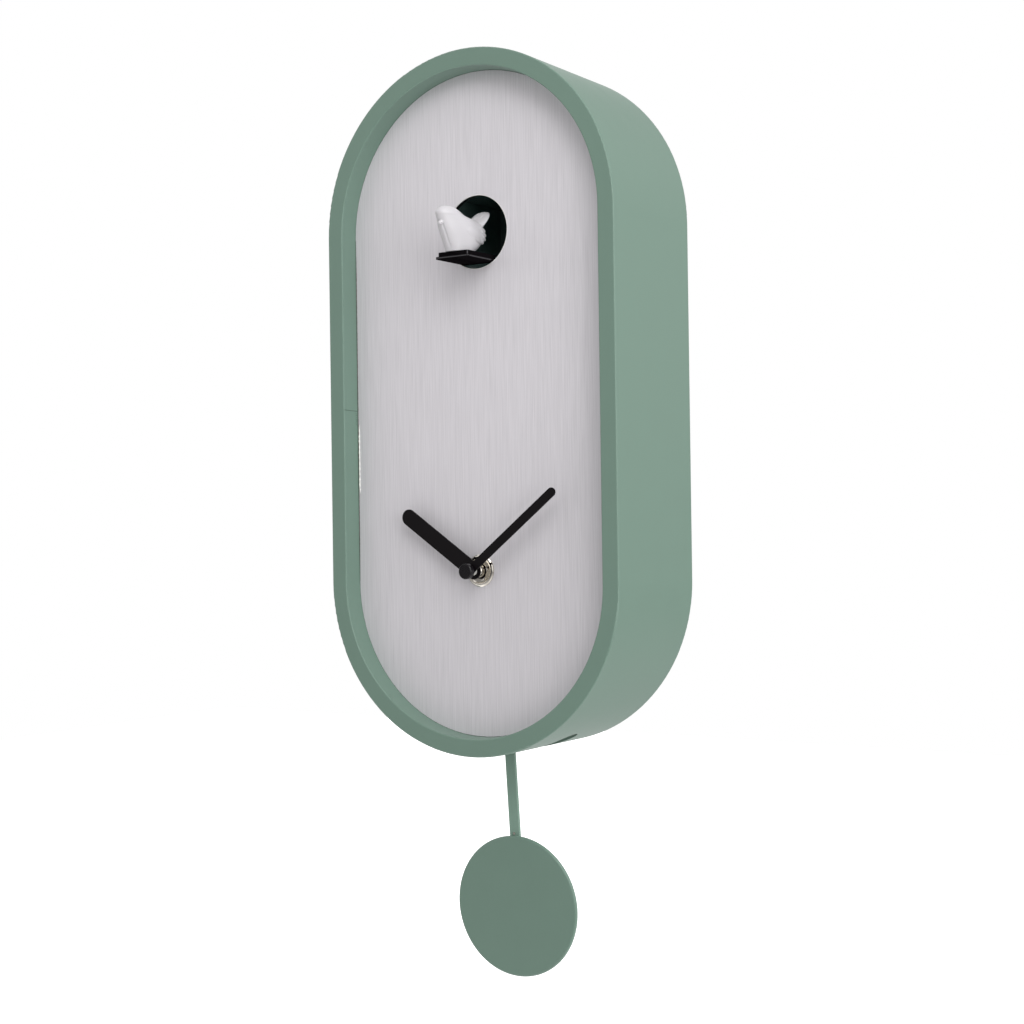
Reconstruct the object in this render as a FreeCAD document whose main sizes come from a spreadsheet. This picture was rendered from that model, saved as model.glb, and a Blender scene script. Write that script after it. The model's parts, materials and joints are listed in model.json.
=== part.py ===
import FreeCAD, Part
import math
import os
import re
from FreeCAD import Vector, Rotation, Placement

# Wall-hung cuckoo clock in a pill-shaped case.
# Frame: millimetres. Origin on the wall plane at the middle of the case, +Z up, -Y towards the viewer.

doc = FreeCAD.newDocument("cuckoo_clock")
Y_AXIS, X_AXIS = Rotation(Vector(1, 0, 0), -90), Rotation(Vector(0, 1, 0), 90)   # turn +Z to +Y, to +X
NODES = []

# ---------------------------------------------------------------- driving dimensions
DIMS = {
    "case_width": 200, "case_height": 410, "case_depth": 88, "rim": 10.5, "edge_round": 0.8,
    "dial_recess": 13.4, "dial_thick": 0.8, "backer_thick": 3, "back_thick": 3, "fit_gap": 0.2,
    "hole_radius": 21.5, "hole_height": 100.5, "shaft_drop": 97.5,
    "slot_length": 94, "slot_width": 16, "slot_depth": 48,
    "block": 12, "screw_radius": 1.5,
    "door_width": 136, "door_height": 111, "door_drop": 82.5, "door_lip": 3, "door_thick": 1.6,
    "move_size": 56, "move_front": -70, "move_depth": 19, "move_wall": 1.6,
    "hour_length": 60.7, "hour_width": 9.7, "minute_length": 74.7, "minute_width": 5.2, "hand_thick": 0.8,
    "hour_front": -82.2, "minute_front": -87,
    "pivot_drop": 135, "rod_width": 6.5, "rod_thick": 2, "rod_back": -51,
    "bob_radius": 41.3, "bob_thick": 2, "bob_distance": 161.3, "bob_gap": 1, "rivet_distance": 118.9,
    "tray_front": -100.1, "tray_back": -51.5, "tray_bottom": 82.3, "tray_half": 11.8, "tray_thick": 1.4,
    "block_half": 10.4, "block_inset": 1.1, "tray_top": 86.3,
    "house_half": 24, "house_wall": 1.5, "house_floor": 82.2, "house_top": 125, "house_back": -13,
    "cell_radius": 7.1, "cell_length": 50.5,
    "speaker_x": 42, "speaker_z": 22, "speaker_radius": 25, "board_x": -42, "board_z": 20,
}
HOUR_TURN, MINUTE_TURN, PENDULUM_TILT = -55.6, 51.7, 3.3      # degrees, clockwise seen from the front

sheet = doc.addObject("Spreadsheet::Sheet", "dims")
for row, (alias, value) in enumerate(DIMS.items(), start=1):
    sheet.set("A%d" % row, alias)
    sheet.set("B%d" % row, repr(value))
    sheet.setAlias("B%d" % row, alias)
doc.recompute()

D = type("Dims", (), DIMS)
FRONT = -D.case_depth
DIAL = FRONT + D.dial_recess                       # front face of the dial
BACKER = DIAL + D.dial_thick                       # front face of the backing board
INSIDE = BACKER + D.backer_thick                   # rear face of the backing board
PANEL = -D.back_thick                              # inner face of the back panel


def bind(obj, prop, value):
    """Set a size, or bind it to the sheet when it is given as an expression of its names."""
    if isinstance(value, str):
        obj.setExpression(prop, re.sub(r"([a-z][a-z_]+)", r"dims.\1", value))
    elif "." in prop:
        obj.setExpression(prop, repr(round(float(value), 6)))
    else:
        setattr(obj, prop, value)


def place(obj, x, y, z, turn=None):
    obj.Placement = Placement(Vector(0, 0, 0), turn or Rotation())
    for axis, value in zip("xyz", (x, y, z)):
        bind(obj, "Placement.Base." + axis, value)
    return obj


def box(name, size, at):
    b = doc.addObject("Part::Box", name)
    for prop, value in zip(("Length", "Width", "Height"), size):
        bind(b, prop, value)
    return place(b, *at)


def slab(name, x0, x1, y0, y1, z0, z1):
    return box(name, (x1 - x0, y1 - y0, z1 - z0), (x0, y0, z0))


def rod(name, radius, length, at, turn=Y_AXIS):
    c = doc.addObject("Part::Cylinder", name)
    bind(c, "Radius", radius)
    bind(c, "Height", length)
    return place(c, at[0], at[1], at[2], turn)


def cone(name, r0, r1, length, at, turn=Y_AXIS):
    c = doc.addObject("Part::Cone", name)
    bind(c, "Radius1", r0)
    bind(c, "Radius2", r1)
    bind(c, "Height", length)
    return place(c, at[0], at[1], at[2], turn)


def fuse(name, shapes):
    if len(shapes) == 1:
        return shapes[0]
    f = doc.addObject("Part::MultiFuse", name)
    f.Shapes = shapes
    f.Refine = True
    return f


def cut(name, base, tools):
    c = doc.addObject("Part::Cut", name)
    c.Base, c.Tool = base, fuse(name + "_tools", tools)
    return c


def common(name, a, b):
    c = doc.addObject("Part::Common", name)
    c.Base, c.Tool = a, b
    return c


def raw(name, shape):
    f = doc.addObject("Part::Feature", name)
    f.Shape = shape
    return f


def pill(name, width, height, y, thick, clear=0):
    """Upright slab with half-round ends, centred on the Y axis."""
    w, h = "(%s - %s)" % (width, 2 * clear), "(%s - %s)" % (height, 2 * clear)
    size = (w, thick, "%s - %s" % (h, w))
    parts = [box(name + "_bar", size, ("-%s/2" % w, y, "-(%s - %s)/2" % (h, w)))]
    for tag, sign in (("top", ""), ("low", "-")):
        parts.append(rod(name + "_" + tag, w + "/2", thick, (0, y, "%s(%s - %s)/2" % (sign, h, w))))
    return fuse(name, parts)


def turned(name, profile, x=0, z=0):
    """Body of revolution about an axis along Y: profile is (radius, y) points."""
    body = doc.addObject("PartDesign::Body", name)
    sketch = body.newObject("Sketcher::SketchObject", name + "_profile")
    plane = [f for f in body.Origin.OriginFeatures if f.Role == "XY_Plane"][0]
    sketch.AttachmentSupport = [(plane, "")]
    sketch.MapMode = "FlatFace"
    for a, b in zip(profile, profile[1:] + profile[:1]):
        sketch.addGeometry(Part.LineSegment(Vector(a[0], a[1], 0), Vector(b[0], b[1], 0)), False)
    turn = body.newObject("PartDesign::Revolution", name + "_turn")
    turn.Profile = sketch
    turn.ReferenceAxis = (sketch, ["V_Axis"])
    turn.Angle = 360
    body.Placement = Placement(Vector(x, 0, z), Rotation())
    return body


def plate(name, outline, y, thick):
    """Flat piece from an outline of (x, z) points, standing in the XZ plane."""
    wire = Part.makePolygon([Vector(a, y, b) for a, b in outline + outline[:1]])
    return raw(name, Part.Face(wire).extrude(Vector(0, thick, 0)))


def flank(base_radius, radius, half_at_base):
    """Point on an involute flank, turned back by half_at_base from the tooth's middle."""
    roll = math.sqrt(max((radius / base_radius) ** 2 - 1, 0))
    return half_at_base - (roll - math.atan(roll))


def gear_outline(teeth, module, add=0.75, ded=1.1, play=0.10, phase=0.0):
    """Closed outline of an involute spur gear, 20 degree pressure angle, a tooth at the phase angle."""
    pitch = teeth * module / 2
    base = pitch * math.cos(math.radians(20))
    inv20 = math.tan(math.radians(20)) - math.radians(20)
    half = (math.pi * module / 2 - play) / (2 * pitch) + inv20
    tip, root = pitch + add * module, pitch - ded * module
    radii = [max(base, root) + (tip - max(base, root)) * k / 5 for k in range(6)]
    points = []
    for n in range(teeth):
        mid = phase + 2 * math.pi * n / teeth
        foot = [(root, -half)] if root < base else []
        rise = foot + [(r, -flank(base, r, half)) for r in radii]
        fall = [(r, -a) for r, a in reversed(rise)]
        points += [(r * math.cos(mid + a), r * math.sin(mid + a)) for r, a in rise + fall]
    return points


def gear(name, teeth, module, start, width, axis, centre, bore=0, phase=0.0, **shape):
    """Spur gear; axis "Y" lies in XZ about centre (x, z), axis "X" lies in YZ about centre (y, z)."""
    pts = gear_outline(teeth, module, phase=phase, **shape)
    if axis == "Y":
        ring = [Vector(centre[0] + a, start, centre[1] + b) for a, b in pts]
        mid, line = Vector(centre[0], start - 1, centre[1]), Vector(0, 1, 0)
    else:
        ring = [Vector(start, centre[0] + a, centre[1] + b) for a, b in pts]
        mid, line = Vector(start - 1, centre[0], centre[1]), Vector(1, 0, 0)
    solid = Part.Face(Part.makePolygon(ring + ring[:1])).extrude(line * width)
    if bore:
        solid = solid.cut(Part.makeCylinder(bore, width + 2, mid, line))
    return raw(name, solid)


def node(name, obj):
    obj.Label = name
    NODES.append((name, obj))
    return obj


def bolts(name, spots, radius, head, tip, face, recess):
    """Countersunk screws along Y with heads flush in a face looking to +Y."""
    parts = []
    for i, (x, z) in enumerate(spots):
        parts.append(rod("%s_shank%d" % (name, i), radius, face - recess - tip, (x, tip, z)))
        parts.append(cone("%s_head%d" % (name, i), radius, head, recess, (x, face - recess, z)))
    return parts


# ---------------------------------------------------------------- case
EAR_SPOTS = [(-23, -D.pivot_drop - 4), (23, -D.pivot_drop - 4)]     # screws of the pendulum drive
EAR_SCREW = 1.2                                                     # their shank radius
KEY_HEIGHT, PLATE_FRONT = 160, -4.5                                 # keyhole, inner face of its plate
RIVET, RIVET_SPOTS = 1.5, [(-17, 165), (17, 165)]                   # radius and places of its rivets
PANEL_SPOTS = [(-83.0, 62), (83.0, 62), (-83.0, -62), (83.0, -62), (0, 187), (0, -187)]
POSTS = [(D.board_x + sx * 27, D.board_z + sz * 18) for sx in (-1, 1) for sz in (-1, 1)]


def ring(name):
    outer = pill(name + "_outer", "case_width", "case_height", "-case_depth", "case_depth")
    inner = pill(name + "_inner", "(case_width-2*rim)", "(case_height-2*rim)",
                 "-case_depth-1", "case_depth+2")
    return cut(name + "_ring", outer, [inner])


def rounded(name, obj, radius, pick):
    doc.recompute()
    f = doc.addObject("Part::Fillet", name)
    f.Base = obj
    f.Edges = [(i + 1, radius, radius) for i, e in enumerate(obj.Shape.Edges) if pick(e)]
    return f


def front_or_back_edge(edge):
    y = [v.Point.y for v in edge.Vertexes] + [edge.CenterOfMass.y]
    flat = max(y) - min(y) < 0.01 and min(abs(y[0] + D.case_depth), abs(y[0])) < 0.01
    return flat and abs(edge.CenterOfMass.z) > 0.5


def case():
    half = ("case_width", "case_depth", "case_height/2")
    top = common("case_top", ring("top"), box("top_half", half, ("-case_width/2", "-case_depth", 0)))
    node("case_upper", rounded("case_upper", top, D.edge_round, front_or_back_edge))
    low_half = box("low_half", half, ("-case_width/2", "-case_depth", "-case_height/2"))
    low = common("case_low", ring("low"), low_half)
    slot = [box("slot_bar", ("slot_length-slot_width", "slot_width", 60),
                ("-(slot_length-slot_width)/2", "-slot_depth-slot_width/2", "-case_height/2-5"))]
    for tag, sign in (("left", "-"), ("right", "")):
        end = (sign + "(slot_length-slot_width)/2", "-slot_depth", "-case_height/2-5")
        slot.append(rod("slot_" + tag, "slot_width/2", 60, end, Rotation()))
    slotted = cut("case_slotted", low, slot)
    node("case_lower", rounded("case_lower", slotted, D.edge_round, front_or_back_edge))


def dial():
    front = "-case_depth+dial_recess"
    for name, y, thick, shaft in (("dial_plate", front, "dial_thick", 4.2),
                                  ("dial_backer", front + "+dial_thick", "backer_thick", 4.4)):
        blank = pill(name + "_blank", "(case_width-2*rim)", "(case_height-2*rim)", y, thick, D.fit_gap)
        holes = [rod(name + "_bird", "hole_radius", 10, (0, DIAL - 3, "hole_height")),
                 rod(name + "_shaft", shaft, 10, (0, DIAL - 3, "-shaft_drop"))]
        if name == "dial_backer":
            holes += [rod("ear_pilot%d" % i, EAR_SCREW, 4, (x, INSIDE - 2, z))
                      for i, (x, z) in enumerate(EAR_SPOTS)]
        node(name, cut(name, blank, holes))


def blocks():
    side = D.case_width / 2 - D.rim
    end = D.case_height / 2 - D.rim
    for name, y, spots in (("dial_blocks", INSIDE, (-85, 0, 85)),
                           ("back_blocks", PANEL - D.block, (-62, 62))):
        cubes = []
        for z in spots:
            for s, x in (("l", -side - 1), ("r", side + 1 - D.block)):
                cubes.append(box("%s_%s%d" % (name, s, z + 100), (12, "block", 24), (x, y, z - 12)))
        for s, z in (("top", end - 14), ("low", -end - 1)):
            cubes.append(box("%s_%s" % (name, s), (24, "block", 15), (-12, y, z)))
        inside = pill(name + "_room", "(case_width-2*rim)", "(case_height-2*rim)", y - 1, 14)
        trimmed = common(name + "_trim", fuse(name + "_cubes", cubes), inside)
        if name == "back_blocks":
            holes = [rod("block_hole%d" % i, "screw_radius", 20, (x, y + 1.0, z))
                     for i, (x, z) in enumerate(PANEL_SPOTS)]
            trimmed = cut(name, trimmed, holes)
        node(name, trimmed)


def windows():
    """Openings of the back panel over the speaker, the slider, the button and the hanger."""
    tools, pitch, field = [], 5.2, 19.5
    for i in range(-3, 4):
        tall = math.sqrt(field ** 2 - (pitch * i) ** 2) - 1.5
        x, z = D.speaker_x + pitch * i, D.speaker_z
        tools.append(slab("sound_slot%d" % (i + 3), x - 1.3, x + 1.3, -6, 2, z - tall, z + tall))
    x, z = D.board_x, D.board_z
    tools += [slab("slider_window", x - 16.6, x - 5.4, -6, 2, z - 2.2, z + 2.2),
              rod("button_window", 2.7, 6, (x + 14, -4, z)),
              rod("key_room", 8, 6, (0, -4, KEY_HEIGHT)),
              slab("key_rise", -6, 6, -4, 2, KEY_HEIGHT, KEY_HEIGHT + 14)]
    for i, (x, z) in enumerate(RIVET_SPOTS):
        tools.append(rod("rivet_hole%d" % i, RIVET + 0.1, 6, (x, -4, z)))
    return tools


def back():
    blank = pill("back_blank", "(case_width-2*rim)", "(case_height-2*rim)", "-back_thick", "back_thick",
                 D.fit_gap)
    tools = [box("door_hole", ("door_width-2*door_lip", 10, "door_height-2*door_lip"),
                 ("-door_width/2+door_lip", -6, "-door_drop-door_height/2+door_lip")),
             box("door_rebate", ("door_width", 5, "door_height"),
                 ("-door_width/2", "-door_thick", "-door_drop-door_height/2"))]
    for i, (x, z) in enumerate(PANEL_SPOTS):
        tools.append(rod("panel_hole%d" % i, D.screw_radius + 0.1, 6, (x, -4, z)))
        tools.append(cone("panel_sink%d" % i, 1.6, 3.4, 1.9, (x, -1.8, z)))
    node("back_panel", cut("back_panel", blank, tools + windows()))
    stem = [(0, -16.2), (0.6, -16.2), (1.0, -15.6), (1.0, -13), (2.6, -13), (2.6, PANEL), (0, PANEL)]
    legs = [turned("post%d" % i, stem, x, z) for i, (x, z) in enumerate(POSTS)]
    node("board_posts", fuse("board_posts", legs))
    screws = bolts("back", PANEL_SPOTS, D.screw_radius, 3.2, -13.5, -0.1, 1.6)
    node("back_screws", fuse("back_screws", screws))


def hanger():
    """Steel plate inside the back with a keyhole for one wall screw, held by two rivets."""
    key = [rod("key_round", 5, 6, (0, -7, KEY_HEIGHT)),
           slab("key_neck", -2.5, 2.5, -7, -1, KEY_HEIGHT, KEY_HEIGHT + 9),
           rod("key_end", 2.5, 6, (0, -7, KEY_HEIGHT + 9))]
    rivets = []
    for i, (x, z) in enumerate(RIVET_SPOTS):
        key.append(rod("key_rivet%d" % i, RIVET, 6, (x, -7, z)))
        rivets.append(rod("rivet_stem%d" % i, RIVET, 4.4, (x, PLATE_FRONT, z)))
        rivets.append(rod("rivet_head%d" % i, 2 * RIVET, 0.9, (x, PLATE_FRONT - 0.9, z)))
    blank = slab("hanger_blank", -23, 23, PLATE_FRONT, PANEL, KEY_HEIGHT - 10, KEY_HEIGHT + 18)
    node("hanger_plate", cut("hanger_plate", blank, key))
    node("hanger_rivets", fuse("hanger_rivets", rivets))


def service_door():
    """Lift-off cover with a stiffening frame and ribs inside and a finger notch at its top edge."""
    gap, frame, depth = 0.25, 2, -5
    half, low = D.door_width / 2, -D.door_drop - D.door_height / 2
    high = low + D.door_height
    skin = slab("door_skin", gap - half, half - gap, -D.door_thick, 0, low + gap, high - gap)
    lip = D.door_lip + gap
    rim_out = slab("door_rim", lip - half, half - lip, depth, -D.door_thick, low + lip, high - lip)
    lip += frame
    rim_in = slab("door_room", lip - half, half - lip, depth - 1, -D.door_thick, low + lip, high - lip)
    notch = rod("door_notch", 9, 3, (0, -0.9, high + 3))
    ribs = [slab("door_rib%d" % i, -30, 30, -2.6, -D.door_thick, low + z, low + z + 1.5)
            for i, z in enumerate((30, 55, 80))]
    body = fuse("door_body", [skin, cut("door_frame", rim_out, [rim_in])] + ribs)
    node("service_door", cut("service_door", body, [notch]))


# ---------------------------------------------------------------- time movement
SHAFT = -D.shaft_drop
MOVE_BACK = D.move_front + D.move_depth
KNOB_X, KNOB = 12.0, -50.6                         # axis of the motion work and front of its setting knob
CELL = (-D.move_size / 2 + 2.75, -60.2, SHAFT - 18.2)
TIP = 1.5                                          # height of a cell's positive tip


def movement():
    half, w = D.move_size / 2, D.move_wall
    low, top = SHAFT - half, SHAFT + half
    split = D.move_front + 5
    shell = slab("front_block", -half, half, D.move_front, split, low, top)
    room = slab("front_room", -half + w, half - w, D.move_front + w, split + 1, low + w, top - w)
    bore = rod("front_bore", 4.0, 9, (0, D.move_front - 3, SHAFT))
    node("movement_front", cut("movement_front", shell, [room, bore]))
    shell = slab("rear_block", -half, half, split, MOVE_BACK, low, top)
    room = slab("rear_room", -half + w, half - w, split - 1, MOVE_BACK - w, low + w, top - w)
    side = half - w - 1
    bay = slab("cell_door", -side, side, MOVE_BACK - 3, MOVE_BACK + 1, low + w + 1, low + w + 15)
    bores = [rod("knob_bore", 2.55, 9, (KNOB_X, MOVE_BACK - 6, SHAFT)),
             rod("arbor_bore", 1.05, 9, (0, MOVE_BACK - 6, SHAFT))]
    bores += [rod("train_bore%d" % i, 0.55, 0.9, (x, MOVE_BACK - w - 0.1, z))
              for i, (x, z) in enumerate((ROTOR, STEP))]
    node("movement_rear", cut("movement_rear", shell, [room, bay] + bores))


def fixing():
    """Threaded tube, rubber gasket behind the dial, washer and hexagon nut in front of it."""
    node("threaded_bushing", turned("threaded_bushing", bushing_profile(), 0, SHAFT))
    seat = [(4.0, INSIDE), (13, INSIDE), (13, D.move_front), (4.0, D.move_front)]
    node("movement_gasket", turned("movement_gasket", seat, 0, SHAFT))
    ring_section = [(4.05, DIAL - 1), (8.9, DIAL - 1), (9.4, DIAL - 0.6), (9.4, DIAL), (4.05, DIAL)]
    node("dial_washer", turned("dial_washer", ring_section, 0, SHAFT))
    corner, start, front = 6.9, 8, DIAL - 3.4
    turns = [math.radians(60 * k + start) for k in range(6)]
    hexagon = [(corner * math.cos(a), SHAFT + corner * math.sin(a)) for a in turns]
    blank = plate("nut_blank", hexagon, front, 2.4)
    chamfer = [(0, front), (6.1, front), (7.2, front + 0.6), (7.2, DIAL), (0, DIAL)]
    faced = common("nut_faced", blank, turned("nut_dome", chamfer, 0, SHAFT))
    node("hex_nut", cut("hex_nut", faced, [rod("nut_bore", 4.0, 9, (0, DIAL - 6, SHAFT))]))


def bushing_profile():
    """Plated tube screwed into the movement, with shallow V threads outside."""
    points = [(2.55, D.move_front + 1.6), (2.55, -80.2), (3.5, -80.2), (3.75, -79.9)]
    y = -79.6
    while y < -71.4:
        points += [(3.95, y), (3.95, y + 0.15), (3.65, y + 0.4)]
        y += 0.5
    return points + [(3.95, -71.0), (3.95, D.move_front + 1.6)]


def motion_work():
    front, rear = D.hour_front, -66.8
    tube = turned("hour_tube", [(1.55, front), (2.5, front), (2.5, rear), (1.55, rear)], 0, SHAFT)
    wheel = gear("hour_teeth", 48, 0.4, -68.0, 1.2, "Y", (0, SHAFT), bore=2.4)
    node("hour_wheel", fuse("hour_wheel", [tube, wheel]))
    steps = [(0, -90.2), (1.0, -90.2), (1.0, -87.9), (1.5, -87.9), (1.5, -66.5), (1.9, -66.5),
             (1.9, -64.0), (1.0, -64.0), (1.0, -51.6), (0, -51.6)]
    arbor = turned("arbor_turned", steps, 0, SHAFT)
    cannon = gear("cannon_teeth", 12, 0.5, -66.4, 1.6, "Y", (0, SHAFT))
    node("minute_arbor", fuse("minute_arbor", [arbor, cannon]))
    axis = (KNOB_X, SHAFT)
    big = gear("motion_teeth", 36, 0.5, -66.2, 1.2, "Y", axis, phase=math.pi / 36 + math.pi)
    small = gear("motion_pinion", 12, 0.4, -68.1, 1.9, "Y", axis, phase=math.pi / 12 + math.pi)
    stem = turned("knob_stem", [(0, -65.0), (2.5, -65.0), (2.5, KNOB), (0, KNOB)], *axis)
    node("motion_wheel", fuse("motion_wheel", [big, small, stem]))
    section = [(0, KNOB), (6.4, KNOB), (6.8, KNOB + 0.4), (6.8, KNOB + 3.2), (6.2, KNOB + 3.8),
               (0, KNOB + 3.8)]
    knob = turned("knob_blank", section, *axis)
    flutes, edge = [], 7.0
    for k in range(24):
        turn = math.pi * k / 12
        spot = (KNOB_X + edge * math.cos(turn), KNOB - 1, SHAFT + edge * math.sin(turn))
        flutes.append(rod("knob_flute%d" % k, 0.5, 6, spot))
    node("setting_knob", cut("setting_knob", knob, flutes))


def hand(name, length, width, y, bore, turn):
    """Constant-width hand with round ends, pointing up, then turned about the shaft."""
    tip = length - width / 2
    parts = [slab(name + "_bar", -width / 2, width / 2, y, y + D.hand_thick, 0, tip),
             rod(name + "_foot", width / 2, D.hand_thick, (0, y, 0)),
             rod(name + "_tip", width / 2, D.hand_thick, (0, y, tip))]
    h = cut(name, fuse(name + "_blank", parts), [rod(name + "_bore", bore, 4, (0, y - 1, 0))])
    h.Placement = Placement(Vector(0, 0, SHAFT), Rotation(Vector(0, 1, 0), turn))
    node(name, h)


def hands():
    hand("hour_hand", D.hour_length, D.hour_width, D.hour_front, 2.5, HOUR_TURN)
    hand("minute_hand", D.minute_length, D.minute_width, D.minute_front, 1.5, MINUTE_TURN)
    section = [(0, -91.2), (4.0, -91.2), (4.5, -90.7), (4.5, -87.9), (1.0, -87.9), (1.0, -90.2), (0, -90.2)]
    node("hand_cap", turned("hand_cap", section, 0, SHAFT))


ROTOR, STEP = (-19.2, -84.5), (-13.0, -88.1)       # axes of the stepping motor's rotor and its first wheel


def stepping_motor():
    gap = math.hypot(STEP[0] - ROTOR[0], STEP[1] - ROTOR[1])
    toward = math.atan2(STEP[1] - ROTOR[1], STEP[0] - ROTOR[0])
    module = gap * 2 / 48
    steps = [(0, -64), (0.5, -64), (0.5, -62.6), (2.4, -62.6), (2.4, -59.6), (0.9, -59.6),
             (0.9, -56.0), (0.5, -56.0), (0.5, -52.0), (0, -52.0)]
    magnet = turned("rotor_magnet", steps, *ROTOR)
    teeth = gear("rotor_teeth", 8, module, -58.8, 2.2, "Y", ROTOR, phase=toward, add=0.6)
    node("movement_rotor", fuse("movement_rotor", [magnet, teeth]))
    steps = [(0, -64), (0.5, -64), (0.5, -60.2), (1.4, -60.2), (1.4, -56.4), (0.5, -56.4),
             (0.5, -52.0), (0, -52.0)]
    meshing = toward + math.pi + math.pi / 40
    wheel = gear("step_teeth", 40, module, -58.4, 1.2, "Y", STEP, phase=meshing, add=0.6)
    node("step_wheel", fuse("step_wheel", [turned("step_hub", steps, *STEP), wheel]))


def stator():
    """Flat iron circuit round the rotor, and the coil on a bobbin with its small circuit board."""
    front, rear = -63.4, -62.8
    iron = [slab("stator_leg", -25.0, 4.0, front, rear, -88.5, -80.5),
            slab("stator_bridge", -25.0, 24.0, front, rear, -79.5, -74.5),
            slab("stator_arm", -25.0, -19.0, front, rear, -81.0, -79.0)]
    holes = [rod("stator_hole", 3.0, 4, (ROTOR[0], -65, ROTOR[1])),
             rod("stator_pass", 1.2, 4, (STEP[0], -65, STEP[1])),
             rod("stator_arbor", 3.4, 4, (0, -65, SHAFT))]
    node("movement_stator", cut("movement_stator", fuse("stator_sheet", iron), holes))
    coil = [rod("coil_winding", 4.0, 20, (2, -58.2, -77), X_AXIS),
            slab("move_board", -24, 2, -56.2, -55.2, -81.5, -73.0),
            slab("move_chip", -20, -14, -55.2, -54.0, -80, -75.5),
            rod("move_crystal", 1.0, 6, (-11, -54.4, -77), X_AXIS)]
    coil += [slab("coil_cheek%d" % i, x, x + 1, rear, -54, -81, -73) for i, x in enumerate((1, 22))]
    node("movement_coil", fuse("movement_coil", coil))


def movement_power():
    x, y, z = CELL
    end = x + D.cell_length
    cell = [rod("cell_can", D.cell_radius, D.cell_length - TIP, (x, y, z), X_AXIS),
            rod("cell_tip", 2.7, TIP, (end - TIP, y, z), X_AXIS)]
    node("movement_battery", fuse("movement_battery", cell))
    ends = [slab("contact_minus", x - 0.6, x, y - 5, y + 5, z - 5, z + 5),
            slab("contact_plus", end, end + 0.6, y - 4, y + 4, z - 4, z + 12)]
    node("movement_contacts", fuse("movement_contacts", ends))


# ---------------------------------------------------------------- pendulum
PIN = 1.5                                          # radius of the pivot pin
MAGNET_DROP, PEG_DROP = 10.0, 14.0                 # magnet and rod peg below the pivot


def hang(obj):
    """Turn a piece drawn about the pivot to where the pendulum stands."""
    if obj.TypeId not in ("Part::Cut", "Part::MultiFuse"):
        held = doc.addObject("Part::Compound", obj.Name + "_hung")
        held.Links = [obj]
        obj = held
    obj.Placement = Placement(Vector(0, 0, -D.pivot_drop), Rotation(Vector(0, 1, 0), -PENDULUM_TILT))
    return obj


def pendulum_drive():
    """Open-backed box on the dial board with the driving coil and the pivot pin."""
    piv, wall = -D.pivot_drop, 1.5
    low, high, rear = piv - 18, piv + 7, -58
    shell = slab("drive_block", -19, 19, INSIDE, rear, low, high)
    room = slab("drive_room", wall - 19, 19 - wall, INSIDE + wall, rear - wall, low + wall, high - wall)
    walls = [cut("drive_shell", shell, [room]), rod("pin_boss", 3.5, 9, (0, -67.5, piv))]
    walls += [slab("drive_ear%d" % i, x, x + 8, INSIDE, INSIDE + 2, piv - 9, piv + 1)
              for i, x in enumerate((-27, 19))]
    holes = [rod("pin_bore", PIN, 12, (0, -62, piv))]
    screws = []
    for i, (x, z) in enumerate(EAR_SPOTS):
        holes.append(rod("ear_hole%d" % i, EAR_SCREW, 6, (x, INSIDE - 2, z)))
        screws.append(rod("ear_screw%d" % i, EAR_SCREW, 4.0, (x, INSIDE - 2.0, z)))
        screws.append(rod("ear_head%d" % i, 2.2, 1.4, (x, INSIDE + 2, z)))
    node("pendulum_drive_case", cut("pendulum_drive_case", fuse("drive_box", walls), holes))
    node("drive_screws", fuse("drive_screws", screws))
    winding = [(2.2, -68.0), (6.0, -68.0), (6.0, -60.0), (2.2, -60.0)]
    node("pendulum_drive_coil", turned("pendulum_drive_coil", winding, 0, piv - MAGNET_DROP))
    pin = [(0, -62), (PIN, -62), (PIN, -52.6), (2.4, -52.6), (2.4, -51.8), (0, -51.8)]
    node("rocker_pin", turned("rocker_pin", pin, 0, piv))


def rocker():
    """Arm on the pivot pin; carries the magnet over the coil and a peg for the rod."""
    width, front, rear = 5, -56, -53
    arm = [slab("rocker_bar", -width, width, front, rear, -16, 0),
           rod("rocker_eye", width, rear - front, (0, front, 0)),
           rod("rocker_toe", width, rear - front, (0, front, -16)),
           rod("rocker_peg", 1.2, 5.0, (0, front + 1, -PEG_DROP))]
    bore = rod("rocker_bore", PIN + 0.05, 5, (0, front - 1, 0))
    node("pendulum_rocker", hang(cut("pendulum_rocker", fuse("rocker_arm", arm), [bore])))
    node("rocker_magnet", hang(rod("rocker_magnet", 4, 1.0, (0, front - 1, -MAGNET_DROP))))


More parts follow.
